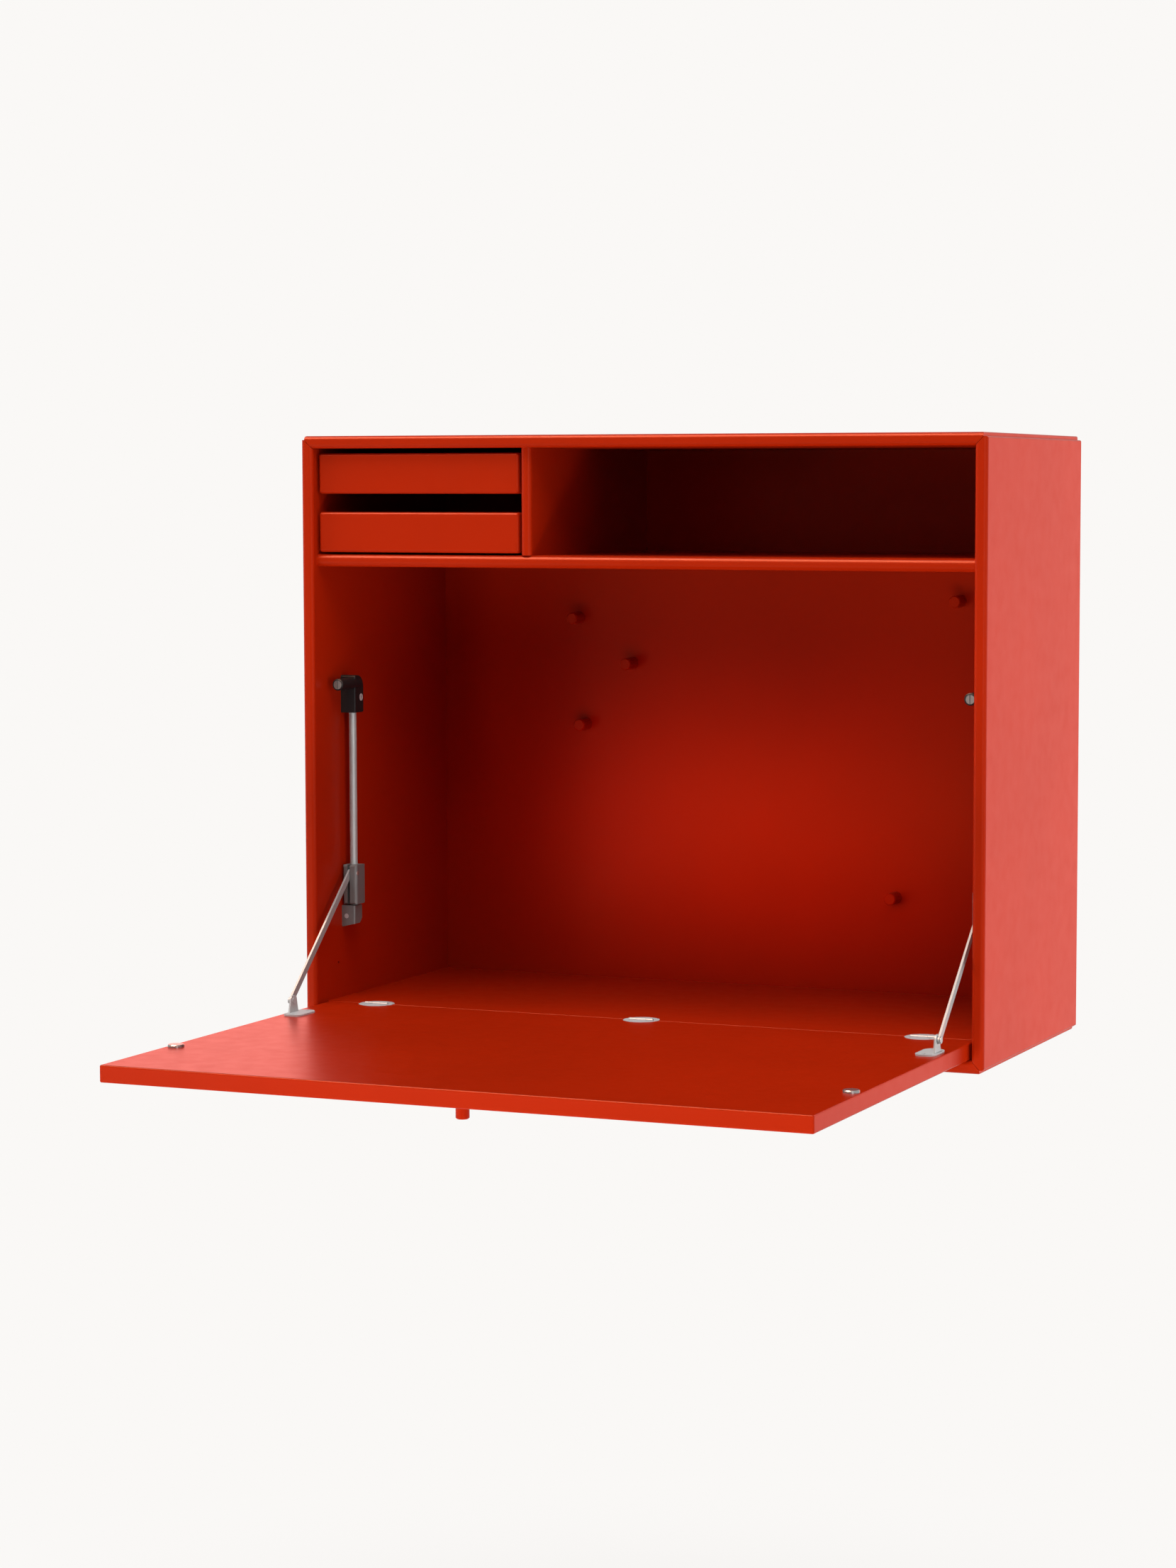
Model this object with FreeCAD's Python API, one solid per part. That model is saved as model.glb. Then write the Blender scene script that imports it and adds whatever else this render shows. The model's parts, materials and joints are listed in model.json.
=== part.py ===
"""Fold down wall desk: a lacquered cabinet with a drop flap, two flap stays and two small drawers.

Millimetres. X runs to the right, Y into the wall, Z up. The origin lies on the wall plane, midway
between the two wall screw holes. The flap is drawn open and level, the drawers closed.
"""
import FreeCAD, Part
import math
import os

# Carcass
carcass_width = 696.0
carcass_height = 582.0
carcass_depth = 300.0
board = 12.0
corner_step = 3.8
corner_step_round = 1.6
mitre_gap = 0.35
arris_round = 4.0

# Back panel, held in a groove round the carcass
back_board = 8.0
back_recess = 2.0
back_groove = 5.0
groove_play = 0.2

# Upper bay: shelf, divider and their dowels
upper_bay_height = 102.0
inner_setback = 8.0
inner_round = 5.0
drawer_bay_width = 218.6
divider_board = 10.6
divider_flat = 1.6
dowel_radius = 3.0
dowel_in_board = 8.0
dowel_in_edge = 14.0
dowel_end_share = 0.2

# Desk floor and flap
flap_board = 15.7
flap_rest_gap = 0.3
flap_side_gap = 2.0
flap_top_gap = 1.0
flap_round = 1.5
floor_round = 0.6
hinge_setback = 24.0
joint_gap = 0.6

# Flush hinges
hinge_from_side = 53.5
leaf_radius = 17.5
leaf_thickness = 1.5
leaf_play = 0.1
knuckle_radius = 1.6
knuckle_length = 24.0
knuckle_middle = 9.0
knuckle_play = 0.2
knuckle_relief = 0.6
pin_radius = 0.8
pin_play = 0.05
leaf_screw_across = 9.5
leaf_screw_along = 9.0

# Countersunk screws
small_head_radius = 2.4
small_head_height = 1.2
small_shank_radius = 1.1
small_shank_length = 8.0
small_slot = 0.5
large_head_radius = 3.6
large_head_height = 1.6
large_shank_radius = 1.6
large_slot = 0.8
slot_depth_share = 0.5
slot_length_share = 0.7

# Flap fittings
pull_radius = 6.0
pull_length = 16.0
pull_edge_distance = 40.0
peg_end_round = 1.0
strike_radius = 7.5
strike_height = 2.5
strike_round = 0.8

# Flap stays: rod, housing, catch and foot
stay_inset = 8.0
stay_setback = 65.0
rod_radius = 3.75
rod_in_housing = 8.0
rod_in_foot = 12.0
housing_bottom = 311.0
housing_roof = 2.2
housing_width = 16.0
housing_front = 9.5
housing_back = 8.5
housing_round = 12.0
housing_arris = 1.0
housing_screw_rise = 15.0
housing_screw_back = 3.0
housing_screw_length = 22.0
catch_inset = 11.5
catch_rise = 29.0
catch_radius = 5.8
catch_gap = 0.5
catch_bevel = 0.9
catch_tail = 5.5
magnet_radius = 4.4
magnet_length = 6.0
magnet_recess = 0.4
magnet_slot = 1.2
magnet_slot_depth = 0.8
foot_bottom = 98.0
foot_height = 21.5
foot_width = 14.5
foot_front = 11.0
foot_back = 5.4
foot_cut_back = 9.0
foot_cut_up = 9.5
foot_slant = 3.6
foot_arris = 1.5
foot_screw_wall = 0.6
foot_screw_inset = 5.2
foot_screw_rise = 11.0

# Flap stays: slider and arm
slider_height = 39.0
slider_to_wall = 6.3
slider_to_room = 9.2
slider_back = 6.6
slider_round = 3.0
slider_soft = 1.8
slider_heel = 4.0
slider_rest_gap = 1.5
slider_pin_below_top = 8.0
slider_pin_wall = 0.7
bush_wall = 1.0
bush_play = 0.05
bush_proud = 0.9
bush_to_arm = 0.3
slot_play = 0.4
slot_floor_play = 0.6
arm_thickness = 2.0
arm_width = 6.6
arm_eye_radius = 3.6
slider_rivet_radius = 2.2
rivet_head_height = 0.7
rivet_head_share = 1.5

# Flap stays: bracket on the flap
bracket_distance = 90.0
bracket_pivot_rise = 12.5
bracket_length = 39.0
bracket_width = 19.4
bracket_end_flat = 1.8
bracket_thickness = 1.6
bracket_outer_edge = 2.2
tab_foot_length = 18.0
tab_head_radius = 5.0
tab_corner_share = 0.8
tab_gap = 0.4
bracket_rivet_radius = 2.0
bracket_rivet_play = 0.05
bracket_screw_inset = 6.5
bracket_screw_along = 14.0
bracket_screw_length = 11.0

# Drawers
drawer_front_board = 14.0
drawer_front_round = 2.6
drawer_setback = 9.0
drawer_front_gap = 2.4
drawer_floor_gap = 2.0
drawer_spacing = 17.8
drawer_top_gap = 4.8
drawer_box_rise = 2.0
drawer_rim_drop = 2.2
drawer_rear_gap = 35.0
drawer_side_board = 10.0
drawer_side_gap = 3.0
drawer_rim_round = 1.5
drawer_bottom_board = 4.0
drawer_bottom_groove = 4.0
drawer_bottom_rise = 4.0
runner_width = 8.0
runner_height = 6.0
runner_front_gap = 2.0
runner_rear_gap = 25.0
runner_rise = 16.0
runner_play = 0.15
runner_end_play = 0.3

# Pegs on the back panel, as shares of the desk compartment's width and height
peg_radius = 6.0
peg_length = 20.0
peg_place_shares = [(0.228, 0.866), (0.317, 0.759), (0.240, 0.611), (0.841, 0.917), (0.743, 0.224)]

# Pilot holes low on the side panels
pilot_radius = 1.2
pilot_depth = 5.0
pilot_setback = 46.0
pilot_height = 63.5

# Wall fixing
fixing_below_top = 37.0
fixing_from_side = 68.0
fixing_hole_radius = 3.25
wall_plate_width = 54.0
wall_plate_height = 30.0
wall_plate_round = 5.0
wall_plate_screw_along = 19.0
wall_plate_screw_length = 5.0

# One overrun serves every cut
overrun = 2.0

# Places worked out from the sizes above
inner_half = carcass_width / 2 - board
outer_half = carcass_width / 2
fixing_height = carcass_height - fixing_below_top
fixing_spacing = carcass_width - 2 * fixing_from_side
bay_top = carcass_height - board
shelf_top = bay_top - upper_bay_height
shelf_bottom = shelf_top - board
floor_top = board + flap_rest_gap + flap_board
back_rear = carcass_depth - back_recess
back_front = back_rear - back_board
flap_half = inner_half - flap_side_gap
flap_reach = shelf_bottom - floor_top - flap_top_gap
flap_front = hinge_setback - flap_reach
bay_left = -inner_half
bay_right = bay_left + drawer_bay_width
rod_x = -inner_half + stay_inset
foot_top = foot_bottom + foot_height
foot_screw_length = foot_front - rod_radius - foot_screw_wall - small_head_height
slider_bottom = foot_top + slider_rest_gap
slider_top = slider_bottom + slider_height
slider_pin_height = slider_top - slider_pin_below_top
slider_pin_forward = rod_radius + bush_play + bush_wall + bush_to_arm + arm_eye_radius
slider_pin_depth = stay_setback - slider_pin_forward
slider_front = slider_pin_forward + slider_rivet_radius + slider_pin_wall
arm_x = rod_x
bracket_pivot_depth = hinge_setback - bracket_distance
bracket_pivot_height = floor_top + bracket_pivot_rise
knuckle_clear = knuckle_radius + knuckle_relief
catch_height = housing_bottom + catch_rise
housing_height = catch_rise + catch_radius + housing_roof
strike_depth = hinge_setback - (catch_height - floor_top)
hinge_spacing = inner_half - hinge_from_side
hinge_places = [-hinge_spacing, 0, hinge_spacing]
runner_groove = runner_width - drawer_side_gap + runner_end_play
drawer_front_height = (upper_bay_height - drawer_floor_gap - drawer_spacing - drawer_top_gap) / 2
drawer_box_height = drawer_front_height - drawer_box_rise - drawer_rim_drop
drawer_front_back = drawer_setback + drawer_front_board
drawer_box_length = back_front - drawer_rear_gap - drawer_front_back
runner_length = back_front - runner_rear_gap - drawer_front_back - runner_front_gap

right = FreeCAD.Vector(1, 0, 0)
rearward = FreeCAD.Vector(0, 1, 0)
upward = FreeCAD.Vector(0, 0, 1)
middle = FreeCAD.Vector(0, 0, 0)


def place(x, depth, height):
    """Point from its X, its depth behind the carcass front and its height over the underside."""
    return FreeCAD.Vector(x, depth - carcass_depth, height - fixing_height)


def seen_from_front(depth):
    return lambda x, height: place(x, depth, height)


def seen_from_side(x):
    return lambda depth, height: place(x, depth, height)


def seen_from_above(height):
    return lambda x, depth: place(x, depth, height)


def round_corner(before, corner, after, radius):
    """Start, middle and end of the arc that rounds one corner of a flat outline."""
    back = (before - corner).normalize()
    ahead = (after - corner).normalize()
    half_angle = back.getAngle(ahead) / 2
    inward = (back + ahead).normalize()
    run = radius / math.tan(half_angle)
    centre = corner + inward * (radius / math.sin(half_angle))
    return corner + back * run, centre - inward * radius, corner + ahead * run


def outline(corners, plane):
    """Closed face from corners given as (u, v) or, where the corner is rounded, (u, v, radius)."""
    points = [plane(corner[0], corner[1]) for corner in corners]
    radii = [corner[2] if len(corner) > 2 else 0 for corner in corners]
    count = len(points)
    stretches = []
    for i in range(count):
        if radii[i]:
            stretches.append(round_corner(points[i - 1], points[i], points[(i + 1) % count], radii[i]))
        else:
            stretches.append((points[i],))
    edges = []
    for i in range(count):
        if len(stretches[i]) > 1:
            edges.append(Part.Arc(*stretches[i]).toShape())
        edges.append(Part.LineSegment(stretches[i][-1], stretches[(i + 1) % count][0]).toShape())
    return Part.Face(Part.Wire(edges))


def slab(corners, plane, sweep):
    return outline(corners, plane).extrude(sweep)


def block(x0, x1, depth0, depth1, height0, height1):
    return Part.makeBox(x1 - x0, depth1 - depth0, height1 - height0, place(x0, depth0, height0))


def bar(radius, start, end):
    """Round bar between two points."""
    return Part.makeCylinder(radius, (end - start).Length, start, end - start)


def turned(profile, start, axis):
    """Solid turned about an axis from (radius, run) points that begin and end on the axis."""
    across = upward if abs(axis.z) < abs(axis.y) + abs(axis.x) else right
    points = [start + across * radius + axis * run for radius, run in profile]
    return Part.Face(Part.makePolygon(points + points[:1])).revolve(start, axis, 360)


def mirrored(shape):
    return shape.mirror(middle, right)


def group(solids):
    return Part.makeCompound(solids)


def cut_all(shape, tools):
    for tool in tools:
        shape = shape.cut(tool)
    return shape


def peg(radius, length, start, axis):
    """Round peg with a softened end."""
    soft = radius - peg_end_round
    return turned([(0, 0), (radius, 0), (radius, length - peg_end_round), (soft, length), (0, length)],
                  start, axis)


def screw(head_radius, head_height, shank_radius, shank_length, slot, seat, axis):
    """Countersunk cross-slotted screw with its head face at seat, driven along axis."""
    length = head_height + shank_length
    tip = length - shank_radius
    body = turned([(0, 0), (head_radius, 0), (shank_radius, head_height), (shank_radius, tip), (0, length)],
                  seat, axis)
    depth = head_height * slot_depth_share
    reach = head_radius * slot_length_share
    across = upward if abs(axis.z) < abs(axis.y) + abs(axis.x) else right
    other = axis.cross(across)
    for along, side in ((across, other), (other, across)):
        corner = seat - along * reach - side * (slot / 2)
        wire = Part.makePolygon([corner, corner + along * (2 * reach),
                                 corner + along * (2 * reach) + side * slot, corner + side * slot, corner])
        body = body.cut(Part.Face(wire).extrude(axis * depth))
    return body


def screw_space(head_radius, head_height, shank_radius, shank_length, seat, axis):
    """The space that a countersunk screw fills, slots included."""
    length = head_height + shank_length
    tip = length - shank_radius
    return turned([(0, 0), (head_radius, 0), (shank_radius, head_height), (shank_radius, tip), (0, length)],
                  seat, axis)


def small_screw(seat, axis):
    return screw(small_head_radius, small_head_height, small_shank_radius, small_shank_length,
                 small_slot, seat, axis)


def small_screw_space(seat, axis):
    return screw_space(small_head_radius, small_head_height, small_shank_radius, small_shank_length, seat, axis)


def large_screw(length, seat, axis):
    return screw(large_head_radius, large_head_height, large_shank_radius, length, large_slot, seat, axis)


def large_screw_space(length, seat, axis):
    return screw_space(large_head_radius, large_head_height, large_shank_radius, length, seat, axis)


# Carcass panels

def upright_section(x_outer, x_inner):
    """Plan section of a side panel, rounded along its two front arrises."""
    return [(x_outer, 0, arris_round), (x_inner, 0, arris_round),
            (x_inner, carcass_depth), (x_outer, carcass_depth)]


def side_panel():
    """Left side panel: mitred at both ends, stepped along the outer corners, grooved for the back."""
    run = slab(upright_section(-outer_half, -inner_half), seen_from_above(0), upward * carcass_height)
    mitre_back = mitre_gap * math.sqrt(2)
    step_x = -outer_half + corner_step - mitre_back
    ends = slab([(-outer_half, corner_step, corner_step_round),
                 (-outer_half, carcass_height - corner_step, corner_step_round),
                 (step_x, carcass_height - corner_step),
                 (-inner_half, bay_top - mitre_back),
                 (-inner_half, board + mitre_back),
                 (step_x, corner_step)], seen_from_front(0), rearward * carcass_depth)
    groove = block(-inner_half - back_groove, -inner_half + overrun, back_front, back_rear, 0, carcass_height)
    pilot_start = place(-inner_half - pilot_depth, pilot_setback, pilot_height)
    pilot = bar(pilot_radius, pilot_start, place(-inner_half + overrun, pilot_setback, pilot_height))
    return cut_all(run.common(ends), [groove, pilot])


def level_panel(outer, inner):
    """Top or bottom panel, from the heights of its outer and inner faces."""
    step = corner_step if outer < inner else -corner_step
    run = slab([(0, outer, arris_round), (carcass_depth, outer),
                (carcass_depth, inner), (0, inner, arris_round)],
               seen_from_side(-outer_half), right * carcass_width)
    step_x = outer_half - corner_step
    ends = slab([(-step_x, outer, corner_step_round), (step_x, outer, corner_step_round),
                 (step_x, outer + step), (inner_half, inner),
                 (-inner_half, inner), (-step_x, outer + step)],
                seen_from_front(0), rearward * carcass_depth)
    groove_height = inner - back_groove if outer < inner else inner
    groove = block(-outer_half, outer_half, back_front, back_rear, groove_height, groove_height + back_groove)
    return run.common(ends).cut(groove)


def back_panel():
    reach = back_groove - groove_play
    return block(-inner_half - reach, inner_half + reach, back_front, back_rear,
                 board - reach, bay_top + reach)


def shelf():
    section = [(inner_setback, shelf_bottom, inner_round), (back_front, shelf_bottom),
               (back_front, shelf_top), (inner_setback, shelf_top, inner_round)]
    return slab(section, seen_from_side(-inner_half), right * (2 * inner_half))


def divider():
    x1 = bay_right + divider_board
    front_round = (divider_board - divider_flat) / 2
    section = [(bay_right, inner_setback, front_round), (x1, inner_setback, front_round),
               (x1, back_front), (bay_right, back_front)]
    return slab(section, seen_from_above(shelf_top), upward * upper_bay_height)


def dowel_depths():
    """Depths of the front and rear dowel of a board that runs from its front edge to the back panel."""
    length = back_front - inner_setback
    return [inner_setback + length * dowel_end_share, back_front - length * dowel_end_share]


def shelf_dowels():
    height = shelf_top - board / 2
    left = [bar(dowel_radius, place(-inner_half - dowel_in_board, depth, height),
                place(-inner_half + dowel_in_edge, depth, height)) for depth in dowel_depths()]
    return left + [mirrored(dowel) for dowel in left]


def divider_dowels():
    x = bay_right + divider_board / 2
    dowels = []
    for depth in dowel_depths():
        dowels.append(bar(dowel_radius, place(x, depth, shelf_top - dowel_in_board),
                          place(x, depth, shelf_top + dowel_in_edge)))
        dowels.append(bar(dowel_radius, place(x, depth, bay_top - dowel_in_edge),
                          place(x, depth, bay_top + dowel_in_board)))
    return dowels


def pegs():
    solids = []
    for across, up in peg_place_shares:
        x = -inner_half + 2 * inner_half * across
        height = floor_top + (shelf_bottom - floor_top) * up
        solids.append(peg(peg_radius, peg_length, place(x, back_front, height), -rearward))
    return solids


# Wall plates

def fixing_hole(x):
    return bar(fixing_hole_radius, place(x, back_front - overrun, fixing_height),
               place(x, carcass_depth + overrun, fixing_height))


def wall_plate(x):
    across = wall_plate_width / 2
    up = wall_plate_height / 2
    corners = [(x - across, fixing_height - up, wall_plate_round),
               (x + across, fixing_height - up, wall_plate_round),
               (x + across, fixing_height + up, wall_plate_round),
               (x - across, fixing_height + up, wall_plate_round)]
    return slab(corners, seen_from_front(back_rear), rearward * back_recess)


def wall_plate_seats():
    return [place(side * fixing_spacing / 2 + turn * wall_plate_screw_along, carcass_depth, fixing_height)
            for side in (-1, 1) for turn in (-1, 1)]


def screw_at_wall(seat):
    return screw(small_head_radius, small_head_height, small_shank_radius, wall_plate_screw_length,
                 small_slot, seat, -rearward)


def screw_space_at_wall(seat):
    return screw_space(small_head_radius, small_head_height, small_shank_radius, wall_plate_screw_length,
                       seat, -rearward)


# Hinges

def half_disc(x, radius, behind, thickness):
    """Half of a flat disc under the desk surface, behind or in front of the hinge axis."""
    disc = bar(radius, place(x, hinge_setback, floor_top - thickness), place(x, hinge_setback, floor_top))
    far = hinge_setback + radius + overrun if behind else hinge_setback - radius - overrun
    keep = block(x - radius - overrun, x + radius + overrun, min(hinge_setback, far), max(hinge_setback, far),
                 floor_top - thickness, floor_top)
    return disc.common(keep)


def knuckle_space(x):
    """Room for the knuckle in the two boards that meet at the hinge."""
    half = knuckle_length / 2 + knuckle_relief
    return block(x - half, x + half, hinge_setback - knuckle_clear, hinge_setback + knuckle_clear,
                 floor_top - knuckle_clear, floor_top + overrun)


def barrel(x0, x1, behind, bore):
    """One stretch of knuckle with the strip that carries it from its leaf."""
    axis_start = place(x0, hinge_setback, floor_top)
    axis_end = place(x1, hinge_setback, floor_top)
    near = hinge_setback if behind else hinge_setback - knuckle_clear
    strip = block(x0, x1, near, near + knuckle_clear, floor_top - leaf_thickness, floor_top)
    return bar(knuckle_radius, axis_start, axis_end).fuse(strip).cut(bar(bore, axis_start, axis_end))


def leaf_screw_seats(x, behind):
    depth = hinge_setback + leaf_screw_along if behind else hinge_setback - leaf_screw_along
    return [place(x - leaf_screw_across, depth, floor_top), place(x + leaf_screw_across, depth, floor_top)]


def floor_leaf(x):
    half = knuckle_length / 2
    inner = knuckle_middle / 2 + knuckle_play
    leaf = half_disc(x, leaf_radius, True, leaf_thickness).cut(knuckle_space(x))
    leaf = leaf.fuse(barrel(x - half, x - inner, True, pin_radius))
    leaf = leaf.fuse(barrel(x + inner, x + half, True, pin_radius)).removeSplitter()
    return cut_all(leaf, [small_screw_space(seat, -upward) for seat in leaf_screw_seats(x, True)])


def flap_leaf(x):
    inner = knuckle_middle / 2
    leaf = half_disc(x, leaf_radius, False, leaf_thickness).cut(knuckle_space(x))
    leaf = leaf.fuse(barrel(x - inner, x + inner, False, pin_radius + pin_play)).removeSplitter()
    return cut_all(leaf, [small_screw_space(seat, -upward) for seat in leaf_screw_seats(x, False)])


def hinge_pin(x):
    half = knuckle_length / 2
    return bar(pin_radius, place(x - half, hinge_setback, floor_top), place(x + half, hinge_setback, floor_top))


def hinge_cuts(behind):
    """Leaf pockets, knuckle room and screw holes in the floor (behind) or in the flap."""
    cuts = []
    for x in hinge_places:
        cuts.append(half_disc(x, leaf_radius + leaf_play, behind, leaf_thickness))
        cuts.append(knuckle_space(x))
        cuts += [small_screw_space(seat, -upward) for seat in leaf_screw_seats(x, behind)]
    return cuts


# Desk floor and flap

def desk_floor():
    front = hinge_setback + joint_gap / 2
    section = [(front, board), (back_front, board), (back_front, floor_top), (front, floor_top, floor_round)]
    return cut_all(slab(section, seen_from_side(-inner_half), right * (2 * inner_half)), hinge_cuts(True))


def flap_panel():
    rear = hinge_setback - joint_gap / 2
    panel = block(-flap_half, flap_half, flap_front, rear, floor_top - flap_board, floor_top)
    panel = panel.makeFillet(flap_round, panel.Edges)
    screws = [large_screw_space(bracket_screw_length, seat, -upward) for seat in bracket_screw_seats()]
    return cut_all(panel, hinge_cuts(False) + screws + [mirrored(hole) for hole in screws])


def flap_pull():
    return peg(pull_radius, pull_length, place(0, flap_front + pull_edge_distance, floor_top - flap_board), -upward)


def strike_disc():
    soft = strike_radius - strike_round
    profile = [(0, 0), (strike_radius, 0), (strike_radius, strike_height - strike_round),
               (soft, strike_height), (0, strike_height)]
    return turned(profile, place(-inner_half + catch_inset, strike_depth, floor_top), upward)


# Left flap stay, fixed pieces. The right one is its mirror image.

def stay_rod():
    return bar(rod_radius, place(rod_x, stay_setback, foot_top - rod_in_foot),
               place(rod_x, stay_setback, housing_bottom + rod_in_housing))


def housing_screw_seat():
    return place(-inner_half + housing_width, stay_setback + housing_screw_back, housing_bottom + housing_screw_rise)


def catch_axis_point(depth):
    return place(-inner_half + catch_inset, depth, catch_height)


def catch_front():
    return hinge_setback + strike_height + catch_gap


def catch_barrel():
    """Barrel of the catch, bored for the magnet, with a bevelled mouth and a rounded tail."""
    length = stay_setback + catch_tail - catch_front()
    soft = catch_radius - catch_bevel
    profile = [(0, 0), (soft, 0), (catch_radius, catch_bevel), (catch_radius, length - catch_tail / 2),
               (soft, length - catch_bevel), (soft - catch_bevel, length), (0, length)]
    body = turned(profile, catch_axis_point(catch_front()), rearward)
    return body.cut(bar(magnet_radius, catch_axis_point(catch_front() - overrun),
                        catch_axis_point(catch_front() + magnet_recess + magnet_length)))


def catch_magnet():
    front = catch_front() + magnet_recess
    disc = bar(magnet_radius, catch_axis_point(front), catch_axis_point(front + magnet_length))
    x = -inner_half + catch_inset
    slot = block(x - magnet_slot / 2, x + magnet_slot / 2, front, front + magnet_slot_depth,
                 catch_height - catch_radius, catch_height + catch_radius)
    return disc.cut(slot)


def stay_housing():
    """Moulded top housing: rounded at the back, open below for the rod and in front for the catch."""
    front = stay_setback - housing_front
    back = stay_setback + housing_back
    top = housing_bottom + housing_height
    corners = [(front, housing_bottom), (back, housing_bottom, 2 * housing_arris),
               (back, top, housing_round), (front, top, 2 * housing_arris)]
    body = slab(corners, seen_from_side(-inner_half), right * housing_width)
    inner_face = -inner_half + housing_width
    rim = [edge for edge in body.Edges if abs(edge.CenterOfMass.x - inner_face) < housing_arris / 2]
    body = body.makeFillet(housing_arris, rim)
    catch_hole = bar(catch_radius, catch_axis_point(front - overrun), catch_axis_point(stay_setback))
    screw_hole = large_screw_space(housing_screw_length, housing_screw_seat(), -right)
    return cut_all(body, [stay_rod(), catch_hole, catch_barrel(), screw_hole])


def foot_screw_seat():
    return place(-inner_half + foot_screw_inset, stay_setback - foot_front, foot_bottom + foot_screw_rise)


def foot_screw():
    """Clamping screw that ends a thin wall short of the rod."""
    return screw(small_head_radius, small_head_height, small_shank_radius, foot_screw_length,
                 small_slot, foot_screw_seat(), rearward)


def foot_screw_space():
    return screw_space(small_head_radius, small_head_height, small_shank_radius, foot_screw_length,
                       foot_screw_seat(), rearward)


def stay_foot():
    """Cast foot for the lower end of the rod, with a slanted underside and its rear lower corner cut away."""
    front = stay_setback - foot_front
    back = stay_setback + foot_back
    corners = [(front, foot_bottom, foot_arris), (back - foot_cut_back, foot_bottom),
               (back, foot_bottom + foot_cut_up), (back, foot_top), (front, foot_top)]
    body = slab(corners, seen_from_side(-inner_half), right * foot_width)
    inner_face = -inner_half + foot_width
    upright = [edge for edge in body.Edges
               if abs(edge.CenterOfMass.x - inner_face) < foot_arris / 2
               and edge.BoundBox.ZLength > foot_height / 2]
    body = body.makeFillet(foot_arris, upright)
    below = slab([(-inner_half, foot_bottom - overrun), (inner_face, foot_bottom - overrun),
                  (inner_face, foot_bottom + foot_slant), (-inner_half, foot_bottom)],
                 seen_from_front(front - overrun), rearward * (back - front + 2 * overrun))
    return cut_all(body, [below, stay_rod(), foot_screw_space()])


# Left flap stay, moving pieces

def slider_blank():
    x0 = rod_x - slider_to_wall
    x1 = rod_x + slider_to_room
    front = stay_setback - slider_front
    back = stay_setback + slider_back
    plan = [(x0, front, slider_soft), (x1, front, slider_round),
            (x1, back, slider_soft), (x0, back, slider_soft)]
    body = slab(plan, seen_from_above(slider_bottom), upward * slider_height)
    side = slab([(front, slider_bottom, slider_soft), (back, slider_bottom, slider_heel),
                 (back, slider_top, slider_soft), (front, slider_top, slider_soft)],
                seen_from_side(x0 - overrun), right * (x1 - x0 + 2 * overrun))
    return body.common(side)


def slider():
    """Brake slider: a sleeve on the rod with a fork in front for the arm."""
    front = stay_setback - slider_front
    half_slot = arm_thickness / 2 + slot_play
    slot_back = slider_pin_depth + arm_eye_radius + slot_floor_play
    slot = block(arm_x - half_slot, arm_x + half_slot, front - overrun, slot_back,
                 slider_bottom - overrun, slider_top + overrun)
    bore = bar(rod_radius + bush_play + bush_wall, place(rod_x, stay_setback, slider_bottom - overrun),
               place(rod_x, stay_setback, slider_top + overrun))
    return cut_all(slider_blank(), [slot, bore] + slider_rivets())


def slider_bush():
    """Brake lining between slider and rod, standing proud of the slider at its lower end."""
    start = place(rod_x, stay_setback, slider_bottom - bush_proud)
    end = place(rod_x, stay_setback, slider_top)
    return bar(rod_radius + bush_play + bush_wall, start, end).cut(bar(rod_radius + bush_play, start, end))


def slider_rivets():
    """Flush rivet ends in the two cheeks of the fork. They stop at the slot, where the linkage is open."""
    half_slot = arm_thickness / 2 + slot_play
    ends = []
    for face, cheek in ((arm_x + half_slot, rod_x + slider_to_room), (arm_x - half_slot, rod_x - slider_to_wall)):
        start = place(face, slider_pin_depth, slider_pin_height)
        end = place(cheek, slider_pin_depth, slider_pin_height)
        ends.append(bar(slider_rivet_radius, start, end).common(slider_blank()))
    return ends


def arm_axis():
    """Unit vector along the arm, from the flap bracket to the slider."""
    start = place(0, bracket_pivot_depth, bracket_pivot_height)
    return (place(0, slider_pin_depth, slider_pin_height) - start).normalize()


def stay_arm():
    """Flat arm with a rounded eye at each end, bored for the bracket rivet."""
    lower = place(arm_x - arm_thickness / 2, bracket_pivot_depth, bracket_pivot_height)
    upper = place(arm_x - arm_thickness / 2, slider_pin_depth, slider_pin_height)
    along = arm_axis()
    side = right.cross(along) * (arm_width / 2)
    strip = Part.makePolygon([lower + side, upper + side, upper - side, lower - side, lower + side])
    body = Part.Face(strip).extrude(right * arm_thickness)
    for end in (lower, upper):
        body = body.fuse(Part.makeCylinder(arm_eye_radius, arm_thickness, end, right))
    body = body.removeSplitter()
    bore = Part.makeCylinder(bracket_rivet_radius + bracket_rivet_play, arm_thickness, lower, right)
    eye = Part.makeCylinder(slider_rivet_radius, arm_thickness, upper, right)
    return cut_all(body, [bore, eye])


# Left flap stay, bracket on the flap

def tab_outer_face():
    return arm_x + arm_thickness / 2 + tab_gap


def bracket_screw_seats():
    x = tab_outer_face() + bracket_thickness + bracket_screw_inset
    height = floor_top + bracket_thickness
    return [place(x, bracket_pivot_depth - bracket_screw_along, height),
            place(x, bracket_pivot_depth + bracket_screw_along, height)]


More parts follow.
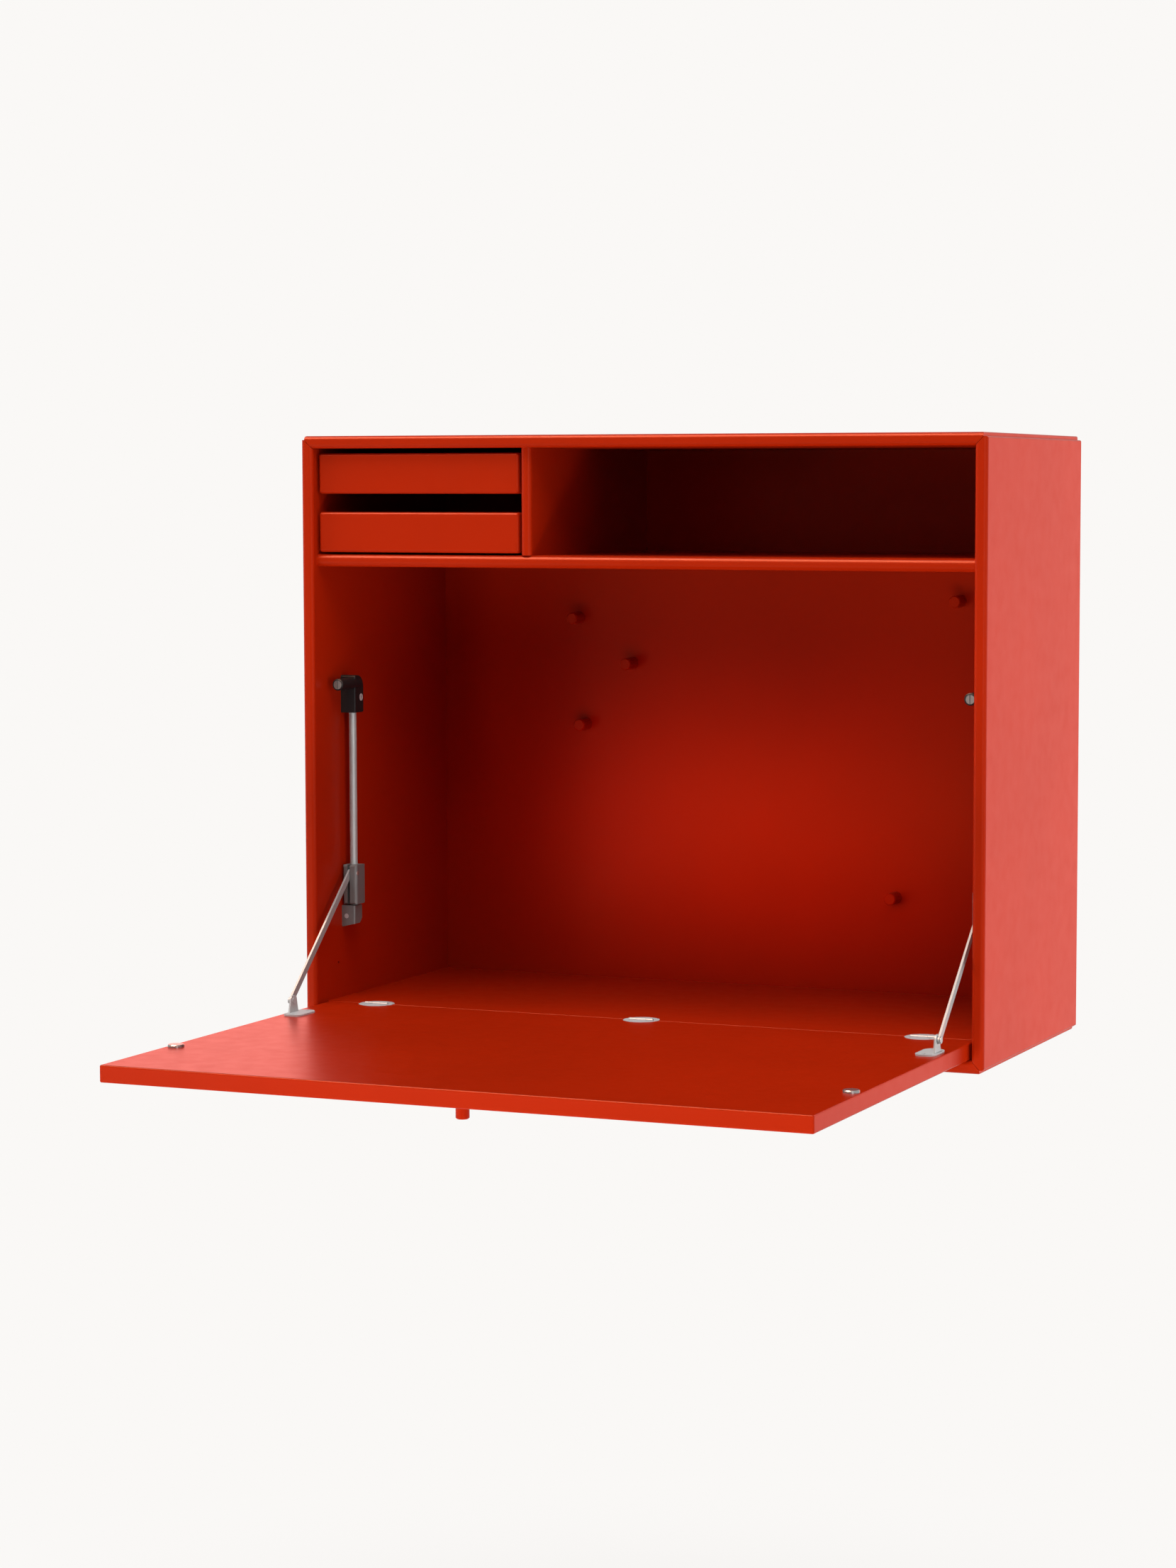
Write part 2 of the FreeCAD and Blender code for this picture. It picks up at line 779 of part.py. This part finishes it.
def flap_bracket():
    """Oval base plate with an upright tab that tapers to the rivet."""
    x0 = tab_outer_face() - bracket_outer_edge
    x1 = x0 + bracket_width
    y0 = bracket_pivot_depth - bracket_length / 2
    y1 = bracket_pivot_depth + bracket_length / 2
    end_round = (bracket_width - bracket_end_flat) / 2
    base = slab([(x0, y0, end_round), (x1, y0, end_round), (x1, y1, end_round), (x0, y1, end_round)],
                seen_from_above(floor_top), upward * bracket_thickness)
    half = tab_foot_length / 2
    top = bracket_pivot_height + tab_head_radius
    narrow = tab_head_radius
    soft = narrow * tab_corner_share
    tab = slab([(bracket_pivot_depth - half, floor_top), (bracket_pivot_depth + half, floor_top),
                (bracket_pivot_depth + narrow, top, soft), (bracket_pivot_depth - narrow, top, soft)],
               seen_from_side(tab_outer_face()), right * bracket_thickness)
    holes = [large_screw_space(bracket_screw_length, seat, -upward) for seat in bracket_screw_seats()]
    return cut_all(base.fuse(tab).removeSplitter(), holes + [bracket_rivet()])


def bracket_rivet():
    """Rivet through tab and arm, headed on both sides."""
    arm_outer = arm_x - arm_thickness / 2
    tab_inner = tab_outer_face() + bracket_thickness
    start = place(arm_outer - tab_gap - rivet_head_height, bracket_pivot_depth, bracket_pivot_height)
    end = place(tab_inner + rivet_head_height, bracket_pivot_depth, bracket_pivot_height)
    shank = bar(bracket_rivet_radius, start, end)
    head_radius = bracket_rivet_radius * rivet_head_share
    outer_head = bar(head_radius, start, start + right * rivet_head_height)
    inner_head = bar(head_radius, end - right * rivet_head_height, end)
    return shank.fuse(outer_head).fuse(inner_head).removeSplitter()


# Drawers

def drawer_base(level):
    """Height of a drawer front's lower edge, level 0 for the lower drawer and 1 for the upper."""
    return shelf_top + drawer_floor_gap + level * (drawer_front_height + drawer_spacing)


def drawer_bottom(base):
    inner = drawer_side_gap + drawer_side_board - drawer_bottom_groove
    lower = base + drawer_box_rise + drawer_bottom_rise
    rear = drawer_front_back + drawer_box_length - drawer_side_board + drawer_bottom_groove
    return block(bay_left + inner, bay_right - inner, drawer_front_back - drawer_bottom_groove, rear,
                 lower, lower + drawer_bottom_board)


def drawer_front(base):
    front = block(bay_left + drawer_front_gap, bay_right - drawer_front_gap, drawer_setback, drawer_front_back,
                  base, base + drawer_front_height)
    rear_face = place(0, drawer_front_back, 0).y
    soft = [edge for edge in front.Edges if edge.BoundBox.YMin < rear_face - overrun]
    return front.makeFillet(drawer_front_round, soft).cut(drawer_bottom(base))


def drawer_runner_height(base):
    return base + drawer_box_rise + runner_rise


def drawer_left_side(base):
    lower = base + drawer_box_rise
    x0 = bay_left + drawer_side_gap
    side = slab([(x0, lower), (x0 + drawer_side_board, lower),
                 (x0 + drawer_side_board, lower + drawer_box_height, drawer_rim_round),
                 (x0, lower + drawer_box_height, drawer_rim_round)],
                seen_from_front(drawer_front_back), rearward * drawer_box_length)
    under = drawer_runner_height(base)
    groove = block(x0 - overrun, x0 + runner_groove, drawer_front_back + runner_front_gap - runner_end_play,
                   drawer_front_back + drawer_box_length + overrun,
                   under - runner_play, under + runner_height + runner_play)
    return cut_all(side, [groove, drawer_bottom(base)])


def drawer_right_side(base):
    """The left side turned about the middle of the bay."""
    centre = place((bay_left + bay_right) / 2, 0, 0)
    return drawer_left_side(base).mirror(centre, right)


def drawer_back(base):
    inner = drawer_side_gap + drawer_side_board
    rear = drawer_front_back + drawer_box_length
    lower = base + drawer_box_rise
    back = block(bay_left + inner, bay_right - inner, rear - drawer_side_board, rear,
                 lower, lower + drawer_box_height - drawer_rim_round)
    return back.cut(drawer_bottom(base))


def runner(base):
    """Runner strip on the left wall of the drawer bay."""
    under = drawer_runner_height(base)
    start = drawer_front_back + runner_front_gap
    return block(bay_left, bay_left + runner_width, start, start + runner_length, under, under + runner_height)


def build_cabinet():
    left = side_panel()
    shelf_pins = shelf_dowels()
    divider_pins = divider_dowels()
    left_stay_holes = [large_screw_space(housing_screw_length, housing_screw_seat(), -right)]
    left = cut_all(left, shelf_pins + left_stay_holes)
    top = cut_all(level_panel(carcass_height, bay_top), divider_pins)
    plate_screws = [screw_at_wall(seat) for seat in wall_plate_seats()]
    plate_spaces = [screw_space_at_wall(seat) for seat in wall_plate_seats()]
    holes = [fixing_hole(-fixing_spacing / 2), fixing_hole(fixing_spacing / 2)]
    plates = [wall_plate(-fixing_spacing / 2), wall_plate(fixing_spacing / 2)]
    bay_centre = place((bay_left + bay_right) / 2, 0, 0)
    left_runners = [runner(drawer_base(level)) for level in (0, 1)]
    return {
        "top_panel": top,
        "bottom_panel": level_panel(0, board),
        "left_side_panel": left,
        "right_side_panel": mirrored(left),
        "back_panel": cut_all(back_panel(), holes + plate_spaces),
        "shelf": cut_all(shelf(), shelf_pins + divider_pins),
        "divider": cut_all(divider(), divider_pins),
        "desk_floor": desk_floor(),
        "shelf_dowels": group(shelf_pins),
        "divider_dowels": group(divider_pins),
        "left_runners": group(left_runners),
        "right_runners": group([strip.mirror(bay_centre, right) for strip in left_runners]),
        "back_pegs": group(pegs()),
        "wall_plates": group([cut_all(plate, holes + plate_spaces) for plate in plates]),
        "wall_plate_screws": group(plate_screws),
        "hinge_floor_leaves": group([floor_leaf(x) for x in hinge_places]),
        "hinge_pins": group([hinge_pin(x) for x in hinge_places]),
        "hinge_floor_screws": group([small_screw(seat, -upward) for x in hinge_places
                                     for seat in leaf_screw_seats(x, True)]),
    }


def build_flap():
    bracket_screws = [large_screw(bracket_screw_length, seat, -upward) for seat in bracket_screw_seats()]
    strike = strike_disc()
    return {
        "flap_panel": flap_panel(),
        "flap_pull": flap_pull(),
        "hinge_flap_leaves": group([flap_leaf(x) for x in hinge_places]),
        "hinge_flap_screws": group([small_screw(seat, -upward) for x in hinge_places
                                    for seat in leaf_screw_seats(x, False)]),
        "strike_discs": group([strike, mirrored(strike)]),
        "bracket_screws": group(bracket_screws + [mirrored(item) for item in bracket_screws]),
    }


def build_stay():
    """Pieces of the left stay, by the name that follows the side."""
    return {
        "stay_rod": stay_rod(),
        "stay_housing": stay_housing(),
        "stay_catch": catch_barrel(),
        "catch_magnet": catch_magnet(),
        "stay_foot": stay_foot(),
        "stay_screws": group([large_screw(housing_screw_length, housing_screw_seat(), -right),
                              foot_screw()]),
        "slider": slider(),
        "slider_bush": slider_bush(),
        "slider_rivets": group(slider_rivets()),
        "stay_arm": stay_arm(),
        "flap_bracket": flap_bracket(),
        "bracket_rivet": bracket_rivet(),
    }


def build_drawer(level):
    base = drawer_base(level)
    return {
        "drawer_front": drawer_front(base),
        "drawer_left_side": drawer_left_side(base),
        "drawer_right_side": drawer_right_side(base),
        "drawer_back": drawer_back(base),
        "drawer_bottom": drawer_bottom(base),
    }


def build():
    nodes = {}
    nodes.update(build_cabinet())
    nodes.update(build_flap())
    for name, shape in build_stay().items():
        nodes["left_" + name] = shape
        nodes["right_" + name] = mirrored(shape)
    for level, word in enumerate(("lower", "upper")):
        for name, shape in build_drawer(level).items():
            nodes[word + "_" + name] = shape
    return nodes


os.makedirs("parts", exist_ok=True)
for node, solid in build().items():
    solid.exportStep("parts/" + node + ".step")
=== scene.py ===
"""Looks of the fold down wall desk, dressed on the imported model. Metres, in the model's own frame."""
import json
import math

import bpy
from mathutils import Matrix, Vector

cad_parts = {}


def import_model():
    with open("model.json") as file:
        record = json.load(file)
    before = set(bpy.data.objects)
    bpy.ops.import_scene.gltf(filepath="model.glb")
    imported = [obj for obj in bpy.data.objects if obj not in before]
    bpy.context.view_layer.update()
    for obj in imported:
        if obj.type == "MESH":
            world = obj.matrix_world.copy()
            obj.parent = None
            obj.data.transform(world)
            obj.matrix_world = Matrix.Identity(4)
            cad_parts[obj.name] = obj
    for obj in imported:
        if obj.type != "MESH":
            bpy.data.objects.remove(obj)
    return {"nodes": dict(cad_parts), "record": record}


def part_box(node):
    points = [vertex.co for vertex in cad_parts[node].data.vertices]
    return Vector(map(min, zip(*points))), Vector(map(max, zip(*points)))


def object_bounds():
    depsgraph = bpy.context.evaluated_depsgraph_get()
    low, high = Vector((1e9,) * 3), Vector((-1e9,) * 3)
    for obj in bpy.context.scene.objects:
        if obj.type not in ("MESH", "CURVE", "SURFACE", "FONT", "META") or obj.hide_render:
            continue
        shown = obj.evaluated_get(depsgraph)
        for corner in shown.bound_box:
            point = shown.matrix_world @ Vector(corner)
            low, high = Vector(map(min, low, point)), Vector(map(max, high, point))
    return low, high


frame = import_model()
cad_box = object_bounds()
nodes = frame["nodes"]

# Colours as linear red, green and blue
lacquer_colour = (0.380, 0.0150, 0.0012)
lacquer_sheen = (1.0, 0.50, 0.34)
white_colour = (1.0, 1.0, 1.0)
pale_colour = (0.956, 0.939, 0.922)
highlight_colour = (1.0, 0.55, 0.37)
glow_colour = (1.0, 0.30, 0.03)
warm_colour = (1.0, 0.05, 0.0)
steel_colour = (0.50, 0.515, 0.515)
# Steel darkened for the arms: painted shade
shaded_arm_colour = (0.36, 0.385, 0.385)
chrome_colour = (0.44, 0.49, 0.49)
casting_colour = (0.145, 0.16, 0.16)
dark_steel_colour = (0.30, 0.29, 0.285)
magnet_colour = (0.16, 0.16, 0.16)
black_colour = (0.0070, 0.0070, 0.0078)
nylon_colour = (0.20, 0.20, 0.195)
beech_light_colour = (0.62, 0.41, 0.22)
beech_dark_colour = (0.47, 0.28, 0.13)

# Noise patterns: the middle span of their values that is used, and how far each axis is drawn out
noise_low = 0.3
noise_high = 0.7
even_grain = (1.0, 1.0, 1.0)
upright_grain = (1.0, 1.0, 0.04)
deep_grain = (1.0, 0.06, 1.0)

# Lacquer: clouding of the colour, uneven gloss, orange-peel relief
lacquer_tint_shares = (0.95, 1.05)
lacquer_cloud_scale = 5.0
lacquer_cloud_detail = 3.0
lacquer_roughness = (0.30, 0.35)
lacquer_gloss_scale = 60.0
lacquer_gloss_detail = 4.0
lacquer_specular = 0.12
lacquer_peel_scale = 900.0
lacquer_peel_detail = 2.0
lacquer_peel_strength = 0.02
lacquer_peel_depth = 0.0001

# Metals: colour, metallic share, specular level, lowest and highest roughness, grain and its scale
metals = {
    "steel": (steel_colour, 0.10, 0.0, 0.34, 0.44, even_grain, 900.0),
    "dark_steel": (dark_steel_colour, 0.70, 0.5, 0.20, 0.28, even_grain, 900.0),
    "polished_rod": (chrome_colour, 0.10, 0.5, 0.24, 0.32, upright_grain, 600.0),
    "grey_casting": (casting_colour, 0.05, 0.5, 0.34, 0.44, upright_grain, 500.0),
    "magnet": (magnet_colour, 1.0, 0.5, 0.35, 0.45, even_grain, 800.0),
}
# The arms' steel, darker than the rest: painted shade
shaded_arm_steel = (shaded_arm_colour, 0.10, 0.3, 0.34, 0.42, even_grain, 900.0)
metal_tint_shares = (0.93, 1.06)
metal_detail = 5.0
metal_relief_strength = 0.05
metal_relief_depth = 0.0001

# Plastics: colour, roughness, specular level and scale of the speckle
plastics = {
    "black_plastic": (black_colour, 0.50, 0.25, 1500.0),
    "grey_plastic": (nylon_colour, 0.35, 0.5, 900.0),
}
plastic_tint_shares = (0.85, 1.2)
plastic_detail = 3.0
plastic_roughness_play = 0.06
plastic_relief_strength = 0.15
plastic_relief_depth = 0.0002

# Beech
beech_scale = 90.0
beech_detail = 4.0
beech_roughness = (0.5, 0.62)
beech_relief_strength = 0.2
beech_relief_depth = 0.0003

# Camera, solved from the straight edges of the photograph
camera_place = Vector((1.3234, -3.3653, -0.0157))
camera_turn = 0.3889
camera_dip = 0.0858
camera_lens = 81.84
camera_shift_x = -0.0697
camera_shift_y = 0.0085

# Stage
desk_top_over_floor = 0.74
floor_half = 12.0
floor_roughness = 0.9
floor_level = 0.35
floor_shown_level = 0.8
shadow_reach = 1.1
shadow_share = 0.20
room_level = 0.006

# Softboxes that light plain surfaces: place, width, height and power; all face one point
light_target = Vector((0.0, -0.30, -0.25))
matt_lights = {
    "top_light": (Vector((-0.10, -0.90, 2.00)), 1.6, 1.2, 50.0),
    "under_light": (Vector((0.10, -1.50, -1.06)), 1.4, 0.25, 15.5),
    "left_low_light": (Vector((-1.80, -2.20, -0.90)), 1.0, 0.8, 14.0),
    "left_light": (Vector((-2.50, -0.95, -0.15)), 1.0, 1.4, 30.0),
    "right_high_light": (Vector((1.30, -1.80, 1.70)), 1.0, 1.0, 15.0),
    "right_light": (Vector((2.40, -0.70, -0.45)), 0.8, 1.4, 18.0),
    "right_back_light": (Vector((2.20, 0.25, -0.50)), 1.0, 1.2, 20.0),
}

# Softboxes that only show in gloss: the front ones on edges and metal, the back ones as a warm sheen
sheen_lights = {
    "upper_sheen": (Vector((-0.90, -1.70, 2.00)), 2.4, 1.6, 520.0, highlight_colour),
    "right_sheen": (Vector((1.60, -2.30, 0.00)), 0.8, 1.6, 20.0),
    "low_sheen": (Vector((-1.00, -2.40, -0.95)), 1.2, 0.3, 3.0),
    "back_left_sheen": (Vector((-1.90, 2.20, 0.05)), 1.8, 1.4, 19.0, warm_colour),
    "back_right_sheen": (Vector((1.20, 2.40, -0.30)), 1.4, 1.8, 18.0, warm_colour),
}

# Small warm lamp inside the desk compartment that lights the middle of its back
glow_target = Vector((0.02, 0.0, -0.355))
glow_light = (Vector((0.02, -0.245, -0.355)), 0.40, 0.14, 0.20, glow_colour)
glow_beam = math.radians(95.0)


# Node helpers

def start_material(name):
    material = bpy.data.materials.new(name)
    material.use_nodes = True
    tree = material.node_tree
    return material, tree, tree.nodes["Principled BSDF"]


def object_coords(tree):
    return tree.nodes.new("ShaderNodeTexCoord").outputs["Object"]


def noise(tree, coords, scale, detail, stretch=even_grain):
    """Noise pattern in object space, drawn out along the axes whose stretch is small."""
    mapping = tree.nodes.new("ShaderNodeMapping")
    mapping.inputs["Scale"].default_value = stretch
    pattern = tree.nodes.new("ShaderNodeTexNoise")
    pattern.inputs["Scale"].default_value = scale
    pattern.inputs["Detail"].default_value = detail
    tree.links.new(coords, mapping.inputs["Vector"])
    tree.links.new(mapping.outputs["Vector"], pattern.inputs["Vector"])
    return pattern.outputs["Fac"]


def map_range(tree, value, start, end, low, high, smooth=False):
    """Goes from low to high as the value goes from start to end."""
    span = tree.nodes.new("ShaderNodeMapRange")
    if smooth:
        span.interpolation_type = "SMOOTHSTEP"
    span.inputs["From Min"].default_value = start
    span.inputs["From Max"].default_value = end
    span.inputs["To Min"].default_value = low
    span.inputs["To Max"].default_value = high
    tree.links.new(value, span.inputs["Value"])
    return span.outputs["Result"]


def spread(tree, pattern, low, high):
    """Maps the middle of a noise pattern to the span from low to high."""
    return map_range(tree, pattern, noise_low, noise_high, low, high)


def blend_colours(tree, value, first, second):
    mix = tree.nodes.new("ShaderNodeMix")
    mix.data_type = "RGBA"
    mix.inputs["A"].default_value = (*first, 1.0)
    mix.inputs["B"].default_value = (*second, 1.0)
    tree.links.new(value, mix.inputs["Factor"])
    return mix.outputs["Result"]


def combine(tree, operation, first, second):
    node = tree.nodes.new("ShaderNodeMath")
    node.operation = operation
    tree.links.new(first, node.inputs[0])
    tree.links.new(second, node.inputs[1])
    return node.outputs["Value"]


def bump(tree, shader, height, strength, distance):
    relief = tree.nodes.new("ShaderNodeBump")
    relief.inputs["Strength"].default_value = strength
    relief.inputs["Distance"].default_value = distance
    tree.links.new(height, relief.inputs["Height"])
    tree.links.new(relief.outputs["Normal"], shader.inputs["Normal"])


def shade(colour, factor):
    return tuple(channel * factor for channel in colour)


def vary_colour(tree, shader, pattern, colour, shares):
    """Lets the base colour go from its darker to its lighter share with a noise pattern."""
    darker, lighter = (shade(colour, share) for share in shares)
    tint = blend_colours(tree, spread(tree, pattern, 0.0, 1.0), darker, lighter)
    tree.links.new(tint, shader.inputs["Base Color"])


# Materials

def lacquer(name):
    """Satin sprayed lacquer: faint clouding, uneven gloss and a fine orange-peel relief."""
    material, tree, shader = start_material(name)
    coords = object_coords(tree)
    cloud = noise(tree, coords, lacquer_cloud_scale, lacquer_cloud_detail)
    vary_colour(tree, shader, cloud, lacquer_colour, lacquer_tint_shares)
    gloss = noise(tree, coords, lacquer_gloss_scale, lacquer_gloss_detail)
    tree.links.new(spread(tree, gloss, *lacquer_roughness), shader.inputs["Roughness"])
    shader.inputs["Specular IOR Level"].default_value = lacquer_specular
    shader.inputs["Specular Tint"].default_value = (*lacquer_sheen, 1.0)
    peel = noise(tree, coords, lacquer_peel_scale, lacquer_peel_detail)
    bump(tree, shader, peel, lacquer_peel_strength, lacquer_peel_depth)
    return material


def brushed_metal(name, colour, metallic, specular, low, high, grain, scale):
    """Metal brushed along the axis whose stretch is small; a lower metallic share makes it satin."""
    material, tree, shader = start_material(name)
    streaks = noise(tree, object_coords(tree), scale, metal_detail, grain)
    vary_colour(tree, shader, streaks, colour, metal_tint_shares)
    tree.links.new(spread(tree, streaks, low, high), shader.inputs["Roughness"])
    shader.inputs["Metallic"].default_value = metallic
    shader.inputs["Specular IOR Level"].default_value = specular
    bump(tree, shader, streaks, metal_relief_strength, metal_relief_depth)
    return material


def moulded_plastic(name, colour, roughness, specular, scale):
    """Moulded plastic with a fine speckle."""
    material, tree, shader = start_material(name)
    speckle = noise(tree, object_coords(tree), scale, plastic_detail)
    vary_colour(tree, shader, speckle, colour, plastic_tint_shares)
    low = roughness - plastic_roughness_play
    high = roughness + plastic_roughness_play
    tree.links.new(spread(tree, speckle, low, high), shader.inputs["Roughness"])
    shader.inputs["Specular IOR Level"].default_value = specular
    bump(tree, shader, speckle, plastic_relief_strength, plastic_relief_depth)
    return material


def beech(name):
    """Plain beech with long grain along the depth of the cabinet."""
    material, tree, shader = start_material(name)
    grain = noise(tree, object_coords(tree), beech_scale, beech_detail, deep_grain)
    tint = blend_colours(tree, spread(tree, grain, 0.0, 1.0), beech_light_colour, beech_dark_colour)
    tree.links.new(tint, shader.inputs["Base Color"])
    tree.links.new(spread(tree, grain, *beech_roughness), shader.inputs["Roughness"])
    bump(tree, shader, grain, beech_relief_strength, beech_relief_depth)
    return material


def dress(material, names):
    for name in names:
        slots = nodes[name].data.materials
        if len(slots):
            slots[0] = material
        else:
            slots.append(material)


def nodes_of_slot(slot):
    return [part["node"] for part in frame["record"]["subparts"] if part["material_slot"] == slot]


def dress_all():
    """Gives every node its slot's finish; the arms then get a darker steel that paints shade on them, and
    the slider rivets the casting finish.
    """
    for slot in ("red_lacquer", "drawer_lacquer"):
        dress(lacquer(slot), nodes_of_slot(slot))
    dress(beech("beech"), nodes_of_slot("beech"))
    for slot, setting in metals.items():
        dress(brushed_metal(slot, *setting), nodes_of_slot(slot))
    for slot, setting in plastics.items():
        dress(moulded_plastic(slot, *setting), nodes_of_slot(slot))
    dress(brushed_metal("shaded_arm_steel", *shaded_arm_steel), ["left_stay_arm", "right_stay_arm"])
    dress(bpy.data.materials["grey_casting"], ["left_slider_rivets", "right_slider_rivets"])


# Stage, light and camera

def seen_rays(tree):
    """1 for camera, glossy and transmission rays, 0 for the rest."""
    path = tree.nodes.new("ShaderNodeLightPath").outputs
    direct = combine(tree, "MAXIMUM", path["Is Camera Ray"], path["Is Transmission Ray"])
    return combine(tree, "MAXIMUM", direct, path["Is Glossy Ray"])


def floor_material():
    """Pale all over, with a share of plain shading near the desk that keeps its shadow."""
    material, tree, shader = start_material("floor")
    seen = seen_rays(tree)
    base = blend_colours(tree, seen, shade(pale_colour, floor_level), shade(pale_colour, floor_shown_level))
    tree.links.new(base, shader.inputs["Base Color"])
    shader.inputs["Roughness"].default_value = floor_roughness
    glow = tree.nodes.new("ShaderNodeEmission")
    glow.inputs["Color"].default_value = (*pale_colour, 1.0)
    distance = tree.nodes.new("ShaderNodeVectorMath")
    distance.operation = "LENGTH"
    tree.links.new(object_coords(tree), distance.inputs[0])
    away = distance.outputs["Value"]
    pale_share = map_range(tree, away, 0.0, shadow_reach, 1.0 - shadow_share, 1.0, smooth=True)
    mix = tree.nodes.new("ShaderNodeMixShader")
    tree.links.new(combine(tree, "MULTIPLY", seen, pale_share), mix.inputs["Fac"])
    tree.links.new(shader.outputs["BSDF"], mix.inputs[1])
    tree.links.new(glow.outputs["Emission"], mix.inputs[2])
    tree.links.new(mix.outputs["Shader"], tree.nodes["Material Output"].inputs["Surface"])
    return material


def floor():
    """Plain pale floor under the desk, as far below it as a desk top stands over a floor."""
    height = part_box("desk_floor")[1].z - desk_top_over_floor
    mesh = bpy.data.meshes.new("floor")
    corners = [(-floor_half, -floor_half, 0.0), (floor_half, -floor_half, 0.0),
               (floor_half, floor_half, 0.0), (-floor_half, floor_half, 0.0)]
    mesh.from_pydata(corners, [], [(0, 1, 2, 3)])
    mesh.materials.append(floor_material())
    plane = bpy.data.objects.new("floor", mesh)
    plane.location = (0.0, cad_box[0].y / 2, height)
    bpy.context.scene.collection.objects.link(plane)


def world():
    """Pale surround to look at and to reflect, and a dim room to light the desk."""
    surround = bpy.data.worlds.new("surround")
    bpy.context.scene.world = surround
    surround.use_nodes = True
    tree = surround.node_tree
    tree.nodes.clear()
    room = tree.nodes.new("ShaderNodeBackground")
    room.inputs["Color"].default_value = (*pale_colour, 1.0)
    room.inputs["Strength"].default_value = room_level
    seen = tree.nodes.new("ShaderNodeBackground")
    seen.inputs["Color"].default_value = (*pale_colour, 1.0)
    mix = tree.nodes.new("ShaderNodeMixShader")
    tree.links.new(seen_rays(tree), mix.inputs["Fac"])
    tree.links.new(room.outputs["Background"], mix.inputs[1])
    tree.links.new(seen.outputs["Background"], mix.inputs[2])
    output = tree.nodes.new("ShaderNodeOutputWorld")
    tree.links.new(mix.outputs["Shader"], output.inputs["Surface"])


def softbox(name, matt, place, width, height, power, colour=white_colour, target=light_target, beam=math.pi):
    """Area light that either lights plain surfaces or is mirrored by glossy ones."""
    data = bpy.data.lights.new(name, "AREA")
    data.shape = "RECTANGLE"
    data.color = colour
    data.size = width
    data.size_y = height
    data.energy = power
    data.spread = beam
    lamp = bpy.data.objects.new(name, data)
    lamp.location = place
    lamp.visible_camera = False
    lamp.visible_diffuse = matt
    lamp.visible_glossy = not matt
    lamp.rotation_euler = (target - place).to_track_quat("-Z", "Y").to_euler()
    bpy.context.scene.collection.objects.link(lamp)


def lights():
    for name, setting in matt_lights.items():
        softbox(name, True, *setting)
    for name, setting in sheen_lights.items():
        softbox(name, False, *setting)
    softbox("glow_light", True, *glow_light, target=glow_target, beam=glow_beam)


def camera():
    data = bpy.data.cameras.new("camera")
    data.lens = camera_lens
    data.shift_x = camera_shift_x
    data.shift_y = camera_shift_y
    eye = bpy.data.objects.new("camera", data)
    eye.location = camera_place
    eye.rotation_euler = (math.pi / 2 - camera_dip, 0.0, camera_turn)
    bpy.context.scene.collection.objects.link(eye)
    bpy.context.scene.camera = eye


dress_all()
floor()
world()
lights()
camera()
bpy.context.scene.view_settings.view_transform = "Standard"
